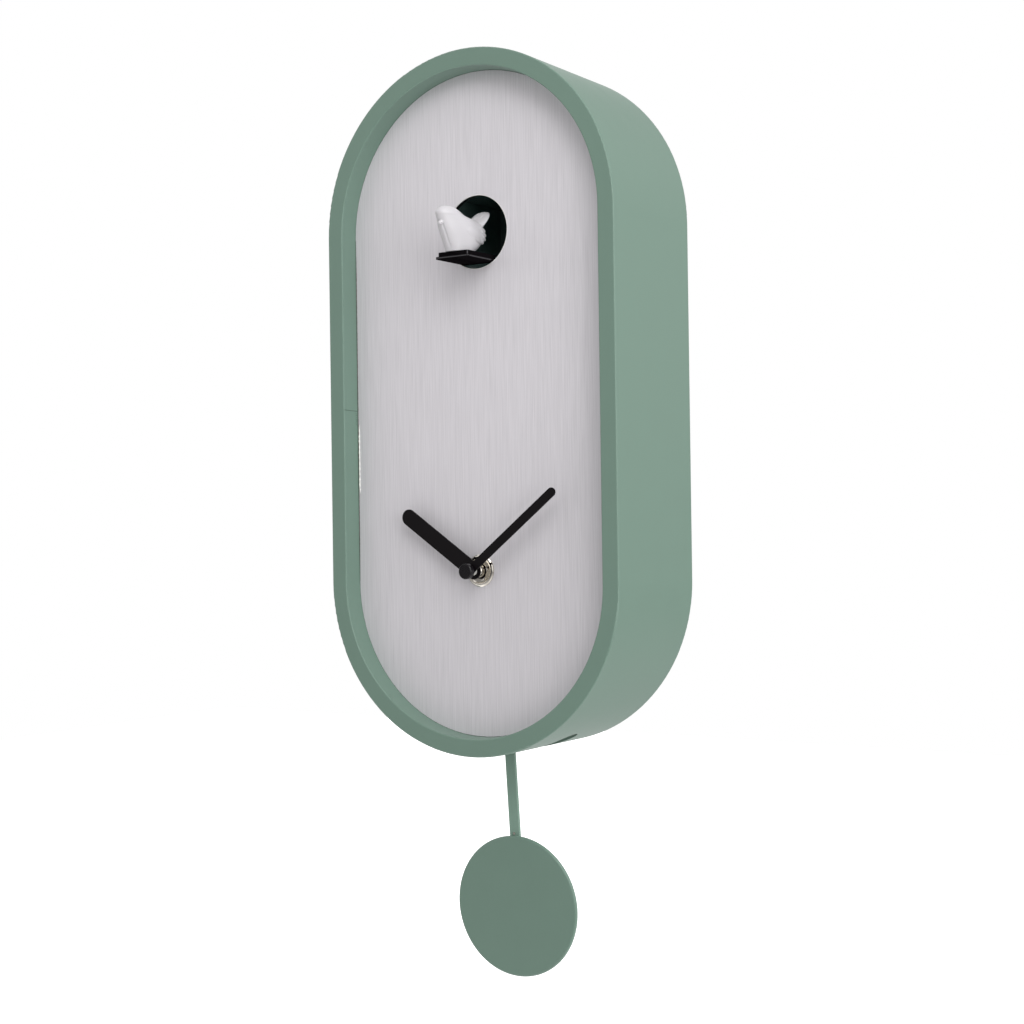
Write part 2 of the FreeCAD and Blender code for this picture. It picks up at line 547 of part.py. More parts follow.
def pendulum():
    """Strip with a disc low on it; the disc stands clear of the strip and grips it with a sleeve."""
    half, lower = D.rod_width / 2, -D.bob_distance - 12
    face = D.rod_back - D.rod_thick
    strip = slab("strip", -half, half, face, D.rod_back, lower, -10.5)
    bores = [rod("strip_eye", 1.25, 5, (0, face - 1, -PEG_DROP)),
             rod("strip_rivet", 0.55, 5, (0, face - 1, -D.rivet_distance))]
    node("pendulum_rod", hang(cut("pendulum_rod", strip, bores)))
    rear = face - D.bob_gap
    front, r = rear - D.bob_thick, D.bob_radius
    section = [(0, front), (r - 1.3, front), (r - 0.6, front + 0.15), (r - 0.2, front + 0.5),
               (r, front + 1.0), (r, rear - 0.2), (r - 0.2, rear), (0, rear)]
    disc = turned("pendulum_bob", section)
    disc.Placement = Placement(Vector(0, 0, -D.bob_distance), Rotation())
    node("pendulum_bob", hang(disc))
    pin = [rod("rivet_body", 0.55, 2.9, (0, face - 0.4, -D.rivet_distance)),
           rod("rivet_face", 0.75, 0.4, (0, face - 0.4, -D.rivet_distance)),
           rod("rivet_tail", 0.75, 0.5, (0, D.rod_back, -D.rivet_distance))]
    node("rod_rivet", hang(fuse("rod_rivet", pin)))
    low, high = -D.bob_distance - 9, -D.bob_distance + 9
    sleeve = slab("clip_block", -9, 9, rear, D.rod_back + 1.4, low, high)
    way = slab("clip_way", -half - 0.05, half + 0.05, face, D.rod_back, low - 4, high + 4)
    node("bob_clip", hang(cut("bob_clip", sleeve, [way])))


# ---------------------------------------------------------------- bird and its drive
GEAR_Y, MODULE = -54.5, 0.5
RACK_PITCH, RACK_HALF = D.tray_bottom + 0.4, 2.2
GEAR_Z = RACK_PITCH - 24 * MODULE / 2
MOTOR_Z = GEAR_Z - 25 * MODULE


def rack_teeth():
    """Comb under the tray: tips flush with its underside, a space centred over the pinion."""
    step, tan20 = math.pi * MODULE, math.tan(math.radians(20))
    half = step / 4 - 0.03
    tip, root = D.tray_bottom, D.tray_bottom + 1.0
    wide, narrow = half + (root - RACK_PITCH) * tan20, half - (RACK_PITCH - tip) * tan20
    first = math.ceil((D.tray_front + 1.2 - GEAR_Y) / step - 0.5) + 0.5
    points, y = [(D.tray_front + 0.3, root)], GEAR_Y + first * step
    while y < D.tray_back - 0.6:
        points += [(y - wide, root), (y - narrow, tip), (y + narrow, tip), (y + wide, root)]
        y += step
    points += [(D.tray_back, root), (D.tray_back, root + 0.4), (D.tray_front + 0.3, root + 0.4)]
    comb = [Vector(-RACK_HALF, a, b) for a, b in points]
    face = Part.Face(Part.makePolygon(comb + comb[:1]))
    return raw("rack_teeth", face.extrude(Vector(2 * RACK_HALF, 0, 0)))


def tray():
    """Thin plate with bevelled lower edges and round front corners, a bar on top, a rack below."""
    front, rear, low, half = D.tray_front, D.tray_back, D.tray_bottom, D.tray_half
    top, bevel = low + D.tray_thick, 0.7
    across = [(half, top), (half, low + bevel), (half - bevel, low),
              (bevel - half, low), (-half, low + bevel), (-half, top)]
    blank = slab("tray_blank", -half, half, front, rear, low - 1, top + 1)
    plan = rounded("tray_plan", blank, 1.8, front_corner(front))
    base = common("tray_plate", plate("tray_section", across, front, rear - front), plan)
    face = front + D.block_inset
    bar = slab("tray_bar", -D.block_half, D.block_half, face, rear, top, D.tray_top)
    doc.recompute()
    eased = doc.addObject("Part::Chamfer", "tray_bar_cut")
    eased.Base = bar
    eased.Edges = [(i + 1, 1.0, 1.0) for i, e in enumerate(bar.Shape.Edges) if front_corner(face)(e)]
    groove = slab("tray_groove", -RACK_HALF, RACK_HALF, front + 0.3, rear + 1, low - 1, low + 1.0)
    grooved = cut("tray_grooved", fuse("tray_solid", [base, eased]), [groove])
    node("bird_tray", fuse("bird_tray", [grooved, rack_teeth()]))


def front_corner(y):
    """Picks the upright edges that stand at y."""
    def pick(edge):
        a, b = edge.Vertexes[0].Point, edge.Vertexes[-1].Point
        upright = abs(a.z - b.z) > 0.1 and math.hypot(a.x - b.x, a.y - b.y) < 0.01
        return upright and abs(a.y - y) < 0.01
    return pick


def oval(z, front, rear, half):
    """Level section of the bird, a closed oval between front and rear."""
    mid, long, points = (front + rear) / 2, (rear - front) / 2, []
    for n in range(16):
        points.append(Vector(half * math.cos(n * math.pi / 8), mid + long * math.sin(n * math.pi / 8), z))
    curve = Part.BSplineCurve()
    curve.interpolate(points, PeriodicFlag=True)
    return Part.Wire(curve.toShape())


# level sections of the bird from the tray to the crown: z, foremost y, rearmost y, half width
BIRD = [(86.3, -101.0, -83.0, 7.2), (88.0, -101.8, -80.2, 7.6), (91.0, -103.6, -76.0, 8.2),
        (94.5, -105.6, -73.2, 8.7), (98.0, -107.9, -72.4, 8.8), (101.0, -109.8, -74.0, 8.3),
        (103.5, -111.0, -78.5, 7.5), (105.5, -112.0, -84.0, 6.9), (107.5, -112.3, -90.2, 6.4),
        (109.3, -111.5, -94.8, 5.4), (110.9, -109.6, -98.6, 3.8), (111.8, -107.3, -101.6, 1.9),
        (112.0, -105.0, -104.0, 0.5)]
WING = [(-92, 97), (-88, 100.5), (-80, 101.5), (-75.3, 99.4), (-75.2, 97.2), (-76.6, 95.0),
        (-79.2, 92.6), (-84, 92.0), (-89, 93.4)]   # (y, z) round a folded wing


def bird():
    """Little songbird facing the room: one plump moulding with folded wings, its tail cocked up."""
    body = raw("bird_body", Part.makeLoft([oval(*s) for s in BIRD], True, False))
    beak = cone("bird_beak", 1.5, 0.3, 3.6, (0, -111.2, 103.6), Rotation(Vector(1, 0, 0), 95))
    wings = []
    for i, x in enumerate((-9.4, 6.8)):
        curve = Part.BSplineCurve()
        curve.interpolate([Vector(x, a, b) for a, b in WING], PeriodicFlag=True)
        face = Part.Face(Part.Wire(curve.toShape()))
        wings.append(raw("bird_wing%d" % i, face.extrude(Vector(2.6, 0, 0))))
    half, length = 4.6, 14.5
    fan = rounded("tail_fan", slab("tail_blank", -half, half, -0.8, 0.8, 0, length), 3.0,
                  lambda e: e.CenterOfMass.z > length - 0.01 and abs(e.CenterOfMass.x) > half - 0.01)
    tail = doc.addObject("Part::Compound", "bird_tail")
    tail.Links = [fan]
    tail.Placement = Placement(Vector(0, -77.5, 102.0), Rotation(Vector(1, 0, 0), -44))
    node("bird", fuse("bird", [body, beak, tail] + wings))


BRACKET_SPOTS = [(-10, -54.5), (14, -63.0), (14, -46.0)]
GUIDE_OUT = 14.0                                   # outer face of the tray guides, each side


def tray_guides():
    """Channel on the house floor: a wall and an overhanging lip along each side of the tray."""
    rear, floor, lip = D.house_back - D.house_wall, D.house_floor, D.tray_bottom + D.tray_thick + 0.25
    guides = []
    for i, s in enumerate((-1, 1)):
        x0, x1 = sorted((s * (D.tray_half + 0.2), s * GUIDE_OUT))
        guides.append(slab("guide_wall%d" % i, x0, x1, INSIDE, rear, floor, lip + 1.2))
        x0, x1 = sorted((s * (D.block_half + 0.3), s * GUIDE_OUT))
        guides.append(slab("guide_lip%d" % i, x0, x1, INSIDE, rear, lip, lip + 1.2))
    return guides


def bird_house():
    """Box behind the bird hole, open to the front, with the tray's channel on its floor."""
    half, w, top, floor, rear = D.house_half, D.house_wall, D.house_top, D.house_floor, D.house_back
    shell = slab("house_block", -half, half, INSIDE, rear, floor - w, top)
    room = slab("house_room", -half + w, half - w, INSIDE - 1, rear - w, floor, top - w)
    skirt = slab("house_skirt", -half, half, INSIDE, INSIDE + w, floor - 6, floor - w)
    body = fuse("house_body", [cut("house_shell", shell, [room]), skirt] + tray_guides())
    tools = [slab("gear_slot", -2.9, 2.9, GEAR_Y - 7.5, GEAR_Y + 7.5, floor - w - 1, floor + 0.5),
             slab("tray_way", -GUIDE_OUT, GUIDE_OUT, rear - w - 1, rear + 1, floor, floor + 4.8)]
    tools += [rod("house_screw%d" % i, 1.2, 2.2, (x, y, floor - w - 0.5), Rotation())
              for i, (x, y) in enumerate(BRACKET_SPOTS)]
    node("bird_house", cut("bird_house", body, tools))


def gear_bracket():
    """Bent plate screwed under the house floor, holding the gear axle and the motor."""
    top, sheet_thick = D.house_floor - D.house_wall, 1.5
    deck = slab("bracket_deck", -15, 23, -67, -42, top - sheet_thick, top)
    cheeks = [slab("bracket_cheek%d" % i, x, x + sheet_thick, -65, -44, low, top - sheet_thick)
              for i, (x, low) in enumerate(((-5.5, 71), (21.5, 58)))]
    tools = [slab("bracket_window", -3.5, 3.5, GEAR_Y - 7.5, GEAR_Y + 7.5, top - 3, top + 1),
             rod("bracket_axle", 1.05, 40, (-10, GEAR_Y, GEAR_Z), X_AXIS),
             rod("bracket_motor", 1.05, 6, (19, GEAR_Y, MOTOR_Z), X_AXIS)]
    screws = []
    for i, (x, y) in enumerate(BRACKET_SPOTS):
        tools.append(rod("bracket_hole%d" % i, 1.2, 4, (x, y, top - 3), Rotation()))
        screws.append(rod("deck_screw%d" % i, 1.2, 2.8, (x, y, top - sheet_thick), Rotation()))
        screws.append(rod("deck_head%d" % i, 2.2, 1.3, (x, y, top - sheet_thick - 1.3), Rotation()))
    node("gear_bracket", cut("gear_bracket", fuse("bracket_body", [deck] + cheeks), tools))
    node("bracket_screws", fuse("bracket_screws", screws))


def bird_drive():
    """Motor pinion, wheel and rack pinion on one axle."""
    node("drive_axle", rod("drive_axle", 1.0, 35.5, (-7.5, GEAR_Y, GEAR_Z), X_AXIS))
    node("rack_pinion", gear("rack_pinion", 24, MODULE, -2.0, 4.0, "X", (GEAR_Y, GEAR_Z), bore=1.0,
                             phase=math.pi / 2, add=0.75, play=0.08))
    wheel = gear("wheel_teeth", 40, MODULE, 24.6, 2.0, "X", (GEAR_Y, GEAR_Z), bore=1.0,
                 phase=-math.pi / 2, add=0.6)
    lights, ring_radius = [], 5.6
    for k in range(6):
        turn = k * math.pi / 3 + 0.5
        spot = (23.6, GEAR_Y + ring_radius * math.cos(turn), GEAR_Z + ring_radius * math.sin(turn))
        lights.append(rod("wheel_light%d" % k, 2.1, 4, spot, X_AXIS))
    node("drive_wheel", cut("drive_wheel", wheel, lights))
    meshing = math.pi / 2 + math.pi / 10
    teeth = gear("pinion_teeth", 10, MODULE, 24.3, 2.6, "X", (GEAR_Y, MOTOR_Z), phase=meshing, add=0.6)
    shaft = rod("pinion_shaft", 1.0, 8.0, (18.9, GEAR_Y, MOTOR_Z), X_AXIS)
    node("motor_pinion", fuse("motor_pinion", [teeth, shaft]))


def bird_motor():
    """Small flat-sided motor with its nose against the bracket and two tags at its tail."""
    tail, nose, end, half, flat = -3.0, 17.0, 21.5, 6, 5
    low, high = MOTOR_Z - flat, MOTOR_Z + flat
    block = slab("motor_block", tail, nose, GEAR_Y - half, GEAR_Y + half, low, high)
    can = common("motor_can", block, rod("motor_round", half, nose - tail, (tail, GEAR_Y, MOTOR_Z), X_AXIS))
    parts = [can, slab("motor_nose", nose, end, GEAR_Y - half, GEAR_Y + half, low, high)]
    for i, y in enumerate((GEAR_Y - 4.5, GEAR_Y + 3.5)):
        parts.append(slab("motor_tag%d" % i, tail - 1, tail, y, y + 1, MOTOR_Z - 1, MOTOR_Z + 1))
    bore = rod("motor_bore", 1.05, 6, (18.5, GEAR_Y, MOTOR_Z), X_AXIS)
    node("bird_motor", cut("bird_motor", fuse("motor_body", parts), [bore]))


# ---------------------------------------------------------------- sound and power
def speaker():
    x, z, r = D.speaker_x, D.speaker_z, D.speaker_radius
    section = [(20.6, -3), (r, -3), (r, -5), (23.0, -5), (22.2, -8), (11.6, -15.4), (0, -15.4),
               (0, -14.6), (11.2, -14.6), (21.2, -7.6), (21.6, -5), (20.6, -5)]
    tag = slab("speaker_tag", x - 19, x - 15, -16, -11, z - 1.5, z + 1.5)
    node("speaker_frame", fuse("speaker_frame", [turned("speaker_basket", section, x, z), tag]))
    section = [(20.6, -4.8), (20.6, -4.4), (18.6, -3.6), (16.8, -4.6), (6.2, -10.6), (3.0, -9.4), (0, -9.0),
               (0, -9.4), (3.0, -9.8), (6.0, -11.0), (6.2, -11.1), (17.0, -5.0), (18.6, -4.0)]
    node("speaker_cone", turned("speaker_cone", section, x, z))
    node("speaker_magnet", rod("speaker_magnet", 11, 7.5, (x, -22.9, z)))


def electronics():
    x, z, front, rear = D.board_x, D.board_z, -14.6, -13.0
    board = [slab("board_sheet", x - 31, x + 31, front, rear, z - 22, z + 22),
             slab("board_chip", x - 8, x + 8, -16.8, front, z + 2, z + 12),
             rod("board_cap", 4.0, 11, (x - 20, front - 11, z + 10)),
             rod("board_cap2", 2.5, 7, (x - 20, front - 7, z - 8)),
             slab("switch_can", x - 19, x - 3, rear, -7.5, z - 4, z + 4),
             slab("button_can", x + 10, x + 18, rear, -8.0, z - 4, z + 4)]
    board += [slab("board_plug%d" % i, x + a, x + a + 8, -20.0, front, z + b, z + b + 5)
              for i, (a, b) in enumerate(((12, 13), (12, -18), (-10, -18)))]
    tools = [slab("switch_way", x - 17, x - 5, -11, -7, z - 1.6, z + 1.6),
             rod("button_way", 1.8, 5, (x + 14, -12, z))]
    tools += [rod("post_hole%d" % i, 1.0, 4, (a, -16, b)) for i, (a, b) in enumerate(POSTS)]
    node("control_board", cut("control_board", fuse("board_body", board), tools))
    slider = [slab("slider_foot", x - 12.5, x - 9.5, -10.8, -7.6, z - 1.5, z + 1.5),
              slab("slider_tab", x - 12.5, x - 9.5, -7.6, -0.6, z - 1.5, z + 1.5)]
    node("volume_slider", fuse("volume_slider", slider))
    stem = [(0, -10.2), (1.75, -10.2), (1.75, -6.0), (2.5, -6.0), (2.5, -0.8), (2.2, -0.5), (0, -0.5)]
    node("test_button", turned("test_button", stem, x + 14, z))


def cell_spring(name, x, y, low):
    """Coil spring standing on z = low."""
    line = doc.addObject("Part::Helix", name + "_line")
    line.Pitch = 1.2
    line.Height = 3.4
    line.Radius = 3.2
    line.Placement = Placement(Vector(x, y, low + 0.45), Rotation())
    doc.recompute()
    start = line.Shape.Vertexes[0].Point
    section = Part.Wire(Part.Circle(start, Vector(0, 1, 0.06), 0.3).toShape())
    return raw(name, Part.Wire(line.Shape.Edges).makePipeShell([section], True, True))


def cuckoo_power():
    """Box for two AA cells standing side by side, one each way up."""
    x0, x1, z0, z1, wall = -63.0, -30.0, -128.0, -67.0, 1.4
    shell = slab("box_block", x0, x1, INSIDE, -55.5, z0, z1)
    room = slab("box_room", x0 + wall, x1 - wall, INSIDE + wall, -50, z0 + wall, z1 - wall)
    mid = (x0 + x1) / 2
    rib = slab("box_rib", mid - 0.25, mid + 0.25, INSIDE + wall, -66.5, z0 + wall, z1 - wall)
    node("battery_box", fuse("battery_box", [cut("box_shell", shell, [room]), rib]))
    base, lid, can = z0 + wall, z1 - wall, D.cell_length - TIP
    y = INSIDE + wall + D.cell_radius + 0.1
    tip_up, tip_down = base + 4.2, base + 0.7
    cells = [rod("aa_can0", D.cell_radius, can, (mid - 7.4, y, tip_up), Rotation()),
             rod("aa_tip0", 2.7, TIP, (mid - 7.4, y, tip_up + can), Rotation()),
             rod("aa_can1", D.cell_radius, can, (mid + 7.4, y, tip_down + TIP), Rotation()),
             rod("aa_tip1", 2.7, TIP, (mid + 7.4, y, tip_down), Rotation())]
    node("cuckoo_batteries", fuse("cells", cells))
    contacts = [cell_spring("spring0", mid - 7.4, y, base),
                cell_spring("spring1", mid + 7.4, y, tip_down + D.cell_length),
                slab("tab_low", -58.0, -35.0, y - 4, y + 4, base, base + 0.4),
                slab("tab_top0", -58.5, -49.5, y - 4, y + 4, lid - 0.4, lid),
                slab("tab_top1", -43.5, -34.5, y - 4, y + 4, lid - 0.4, lid)]
    node("battery_springs", fuse("battery_springs", contacts))


BUILDERS = (case, dial, blocks, back, hanger, service_door, movement, fixing, motion_work, hands,
            stepping_motor, stator, movement_power, pendulum_drive, rocker, pendulum, tray, bird, bird_house,
            gear_bracket, bird_drive, bird_motor, speaker, electronics, cuckoo_power)
for build in BUILDERS:
    build()
doc.recompute()

for obj in doc.Objects:
    if "Invalid" in obj.State or "Error" in obj.State:
        raise SystemExit("%s did not build: %s" % (obj.Name, obj.State))
os.makedirs("parts", exist_ok=True)
for name, obj in NODES:
    shape = obj.Shape
    if shape.isNull() or not shape.isValid() or not shape.Solids:
        raise SystemExit("%s has no sound shape" % name)
    shape.exportStep("parts/%s.step" % name)
print(len(NODES), "parts written")
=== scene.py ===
import json
import math

import bmesh
import bpy
from mathutils import Matrix, Vector


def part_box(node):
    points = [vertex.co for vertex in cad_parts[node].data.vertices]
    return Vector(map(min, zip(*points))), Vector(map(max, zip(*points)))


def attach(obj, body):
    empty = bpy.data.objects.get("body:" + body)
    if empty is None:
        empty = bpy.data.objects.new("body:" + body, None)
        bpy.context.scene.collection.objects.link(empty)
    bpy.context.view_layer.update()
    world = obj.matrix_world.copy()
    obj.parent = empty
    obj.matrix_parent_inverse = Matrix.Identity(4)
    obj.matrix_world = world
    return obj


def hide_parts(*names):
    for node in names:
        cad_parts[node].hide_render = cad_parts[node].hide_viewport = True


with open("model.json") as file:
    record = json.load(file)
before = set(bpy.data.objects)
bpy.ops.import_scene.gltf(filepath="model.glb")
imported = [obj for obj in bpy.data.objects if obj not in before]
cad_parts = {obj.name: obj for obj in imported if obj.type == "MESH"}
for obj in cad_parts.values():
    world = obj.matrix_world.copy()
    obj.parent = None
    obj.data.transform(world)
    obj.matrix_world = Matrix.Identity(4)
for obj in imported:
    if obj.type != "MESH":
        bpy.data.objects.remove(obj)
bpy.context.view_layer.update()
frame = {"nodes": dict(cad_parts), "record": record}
MM = 0.001

# ---------------------------------------------------------------- places in millimetres
DIAL_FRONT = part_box("dial_plate")[0].y / MM
DIAL_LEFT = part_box("dial_plate")[0].x / MM
CASE_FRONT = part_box("case_upper")[0].y / MM
SHAFT_HEIGHT = sum(corner.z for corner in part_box("dial_washer")) / 2 / MM
CASE_WALL = DIAL_LEFT - 0.2                         # inner face of the left wall
HOLE_RADIUS, HOLE_HEIGHT = 21.5, 100.5              # bird hole in the dial


def placed(name, data):
    """New object in the scene for a mesh, camera or light."""
    obj = bpy.data.objects.new(name, data)
    bpy.context.scene.collection.objects.link(obj)
    return obj


# ---------------------------------------------------------------- materials
NOISE_SPAN = (0.3, 0.7)                             # most of a noise's values lie between these
COAT_ROUGHNESS = 0.08
SCATTER = 2 * MM                                    # depth that light reaches in white plastic
MATERIALS = {}


def srgb(r, g, b):
    """Linear colour, with alpha, from 0-255 display values."""
    def lin(v):
        v /= 255
        return v / 12.92 if v <= 0.04045 else ((v + 0.055) / 1.055) ** 2.4
    return lin(r), lin(g), lin(b), 1.0


def noise(tree, scale, detail):
    """Noise in object space; scale is cycles per metre, one number or one each along x, y, z."""
    place, spread = tree.nodes.new("ShaderNodeTexCoord"), tree.nodes.new("ShaderNodeMapping")
    field = tree.nodes.new("ShaderNodeTexNoise")
    spread.inputs["Scale"].default_value = scale if isinstance(scale, tuple) else (scale,) * 3
    field.inputs["Scale"].default_value = 1.0
    field.inputs["Detail"].default_value = detail
    tree.links.new(place.outputs["Object"], spread.inputs["Vector"])
    tree.links.new(spread.outputs["Vector"], field.inputs["Vector"])
    return field.outputs["Fac"]


def mixed(tree, first, second, share):
    """Blend of two value sockets, share of the second."""
    mix = tree.nodes.new("ShaderNodeMix")
    mix.inputs["Factor"].default_value = share
    tree.links.new(first, mix.inputs["A"])
    tree.links.new(second, mix.inputs["B"])
    return mix.outputs["Result"]


def finish(name, colour, rough, metal=0.0, scale=400, detail=4.0, tint=0.06, rough_span=0.08,
           bump=0.2, depth=0.03, coat=0.0, specular=0.5, patch=60, grain_share=0.5, aniso=0.0, soft=0.0):
    """Procedural surface: fine grain lifts the relief, slow patches and grain vary colour and roughness."""
    material = MATERIALS[name] = bpy.data.materials.new(name)
    material.use_nodes = True
    tree = material.node_tree
    shader = tree.nodes["Principled BSDF"]
    link, new = tree.links.new, tree.nodes.new
    grain = noise(tree, scale, detail)
    slow = mixed(tree, noise(tree, patch, 3.0), grain, grain_share)
    ramp = new("ShaderNodeValToRGB")
    dark, light = ramp.color_ramp.elements
    dark.position, light.position = NOISE_SPAN
    dark.color = [c * (1 - tint) for c in colour[:3]] + [1]
    light.color = [min(c * (1 + tint), 1) for c in colour[:3]] + [1]
    link(slow, ramp.inputs["Fac"])
    link(ramp.outputs["Color"], shader.inputs["Base Color"])
    span = new("ShaderNodeMapRange")
    span.inputs["From Min"].default_value, span.inputs["From Max"].default_value = NOISE_SPAN
    span.inputs["To Min"].default_value = max(rough - rough_span, 0.02)
    span.inputs["To Max"].default_value = min(rough + rough_span, 1.0)
    link(slow, span.inputs["Value"])
    link(span.outputs["Result"], shader.inputs["Roughness"])
    relief = new("ShaderNodeBump")
    relief.inputs["Strength"].default_value, relief.inputs["Distance"].default_value = bump, depth * MM
    link(grain, relief.inputs["Height"])
    link(relief.outputs["Normal"], shader.inputs["Normal"])
    shader.inputs["Metallic"].default_value = metal
    shader.inputs["Specular IOR Level"].default_value = specular
    shader.inputs["Coat Weight"].default_value = coat
    shader.inputs["Coat Roughness"].default_value = COAT_ROUGHNESS
    shader.inputs["Subsurface Weight"].default_value = soft
    shader.inputs["Subsurface Radius"].default_value = (1.0, 1.0, 1.0)
    shader.inputs["Subsurface Scale"].default_value = SCATTER
    if aniso:
        shader.inputs["Anisotropic"].default_value = aniso
        across = new("ShaderNodeTangent")
        across.direction_type, across.axis = "RADIAL", "Z"
        link(across.outputs["Tangent"], shader.inputs["Tangent"])


GREEN = srgb(105, 130, 117)
LACQUER = dict(scale=1100, tint=0.02, rough_span=0.04, bump=0.12, specular=0.5)

finish("case_paint", GREEN, 0.44, **LACQUER)
finish("green_metal", GREEN, 0.42, **LACQUER)
finish("brushed", srgb(213, 210, 214), 0.42, 0.16, scale=(3200, 3200, 36), detail=8, tint=0.11,
       rough_span=0.05, bump=0.16, depth=0.02, grain_share=0.8, patch=8, aniso=0.9)
finish("black_board", srgb(12, 13, 13), 0.35, scale=700, bump=0.3)
# painted light: a lighter green than the case, standing in for light on the rod, which hangs in the case's
# shade
finish("rod_painted_light", srgb(122, 149, 135), 0.44, **LACQUER)
finish("wood", srgb(196, 162, 118), 0.6, scale=(900, 900, 60), detail=8, tint=0.2, bump=0.3)
finish("panel", srgb(34, 36, 37), 0.55, scale=2400, bump=0.5, depth=0.06)
finish("zinc", srgb(190, 192, 194), 0.34, 1.0, scale=500, tint=0.12)
finish("steel", srgb(186, 186, 188), 0.26, 1.0, scale=(2000, 150, 2000))
# painted light: this green is lighter than the house's dark green-black plastic, to lift the shaded inside
# of the hole
finish("house", srgb(86, 110, 106), 0.14, scale=300, bump=0.05, coat=0.3)
finish("black", srgb(17, 15, 17), 0.5, scale=1800, rough_span=0.03, bump=0.08, specular=0.0)
finish("cap_black", srgb(18, 16, 19), 0.3, scale=1500, bump=0.05, specular=0.22)
finish("hand_black", srgb(15, 12, 14), 0.42, scale=1500, bump=0.12, specular=0.12)
finish("chrome", srgb(204, 199, 190), 0.09, 1.0, scale=900, tint=0.03, rough_span=0.03, bump=0.02)
finish("brass", srgb(212, 178, 112), 0.24, 1.0, scale=1200)
# painted highlight: lighter than the dial, for the light that the bird hole's edge catches
finish("painted_edge_highlight", srgb(226, 226, 222), 0.5, 0.2, scale=2000, tint=0.03, bump=0.1)
finish("rubber", srgb(20, 20, 20), 0.8, scale=1500, bump=0.3)
finish("white_gear", srgb(226, 225, 218), 0.42, scale=900, tint=0.03)
finish("bird_white", srgb(203, 201, 204), 0.3, scale=500, tint=0.008, rough_span=0.02, bump=0.02, depth=0.02,
       coat=0.15, soft=0.6)
finish("copper", srgb(176, 92, 52), 0.32, 0.8, scale=(200, 5000, 5000), tint=0.2, bump=0.6)
finish("magnet", srgb(52, 52, 54), 0.5, 0.4, scale=1500, bump=0.4)
finish("motor", srgb(188, 188, 186), 0.22, 1.0, scale=(200, 2000, 2000))
finish("board", srgb(22, 88, 48), 0.3, scale=600, tint=0.15, coat=0.3)
finish("cell", srgb(34, 66, 120), 0.25, scale=300, coat=0.5)
finish("spring", srgb(200, 200, 196), 0.2, 1.0)
finish("paper", srgb(34, 34, 36), 0.85, scale=1500, bump=0.6, depth=0.1)
finish("grey", srgb(150, 152, 154), 0.45, scale=1500)
finish("red", srgb(170, 26, 20), 0.3, scale=900, coat=0.2)
# painted highlight: a grey-black lighter than the tray's black, for the glints along its eased edges
finish("black_painted_glint", srgb(46, 45, 48), 0.36, scale=1800, bump=0.08)
finish("gap", srgb(88, 90, 84), 0.8, scale=900)
finish("glue", srgb(234, 235, 228), 0.25, scale=900, tint=0.08, coat=0.3)
finish("seam", srgb(66, 84, 74), 0.6, scale=900)

# these two differ a little from the pieces that share their slot: the rod's green is painted lighter, as
# painted light against the shade the case casts on it, and the cap is glossier
ROD_PAINTED_LIGHT_AND_GLOSSY_CAP = {"pendulum_rod": "rod_painted_light", "hand_cap": "cap_black"}
for part in frame["record"]["subparts"]:
    cad = frame["nodes"][part["node"]]
    cad.data.materials.clear()
    cad.data.materials.append(MATERIALS[ROD_PAINTED_LIGHT_AND_GLOSSY_CAP.get(part["node"], part["material_slot"])])


# ---------------------------------------------------------------- mesh helpers
def piece(name, mesh, material):
    """Smooth-shaded object of one material."""
    obj = placed(name, mesh)
    mesh.materials.clear()
    mesh.materials.append(MATERIALS[material])
    for face in mesh.polygons:
        face.use_smooth = True
    return obj


def spline(rows, steps):
    """Smooth table: a Catmull-Rom curve through the rows, with the given steps between each pair."""
    ends = [rows[0]] + list(rows) + [rows[-1]]
    out = []
    for a, b, c, d in zip(ends, ends[1:], ends[2:], ends[3:]):
        for k in range(steps):
            t = k / steps
            out.append([0.5 * (2 * q + (r - p) * t + (2 * p - 5 * q + 4 * r - s) * t * t
                               + (3 * q - p - 3 * r + s) * t ** 3) for p, q, r, s in zip(a, b, c, d)])
    return out + [list(rows[-1])]


def skin(into, rings):
    """Closed tube through rings of points, capped at both ends."""
    loops = [[into.verts.new(Vector(p) * MM) for p in ring] for ring in rings]
    for low, high in zip(loops, loops[1:]):
        for i in range(len(low)):
            j = (i + 1) % len(low)
            into.faces.new((low[i], low[j], high[j], high[i]))
    into.faces.new(reversed(loops[0]))
    into.faces.new(loops[-1])


def blob(into, centre, radii, tilt=0.0, turn=0.0):
    """Ellipsoid in millimetres, tilted about X, then turned about Z, in degrees."""
    move = Matrix.Translation(Vector(centre) * MM) @ Matrix.Rotation(math.radians(turn), 4, "Z")
    move = move @ Matrix.Rotation(math.radians(tilt), 4, "X")
    stretch = Matrix.Diagonal((*[r * MM for r in radii], 1.0))
    bmesh.ops.create_uvsphere(into, u_segments=32, v_segments=20, radius=1.0, matrix=move @ stretch)


def meshed(name, bm):
    """Mesh made from a bmesh, with its faces turned outwards."""
    bmesh.ops.recalc_face_normals(bm, faces=bm.faces)
    mesh = bpy.data.meshes.new(name)
    bm.to_mesh(mesh)
    bm.free()
    return mesh


def melted(name, bm, voxel, rounds):
    """The shapes in a bmesh melted into one skin: voxel remesh, then smoothing rounds."""
    obj = piece(name + "_clay", meshed(name, bm), "bird_white")
    melt = obj.modifiers.new("melt", "REMESH")
    melt.mode, melt.voxel_size = "VOXEL", voxel * MM
    soft = obj.modifiers.new("soft", "SMOOTH")
    soft.factor, soft.iterations = 0.5, rounds
    bpy.context.view_layer.update()
    mesh = bpy.data.meshes.new_from_object(obj.evaluated_get(bpy.context.evaluated_depsgraph_get()))
    bpy.data.objects.remove(obj)
    return mesh


def crease(mesh, strength):
    """Pushes each point inwards by strength(x, y, z), in millimetres."""
    normals = [v.normal.copy() for v in mesh.vertices]
    for v, n in zip(mesh.vertices, normals):
        v.co -= n * strength(*(v.co / MM)) * MM


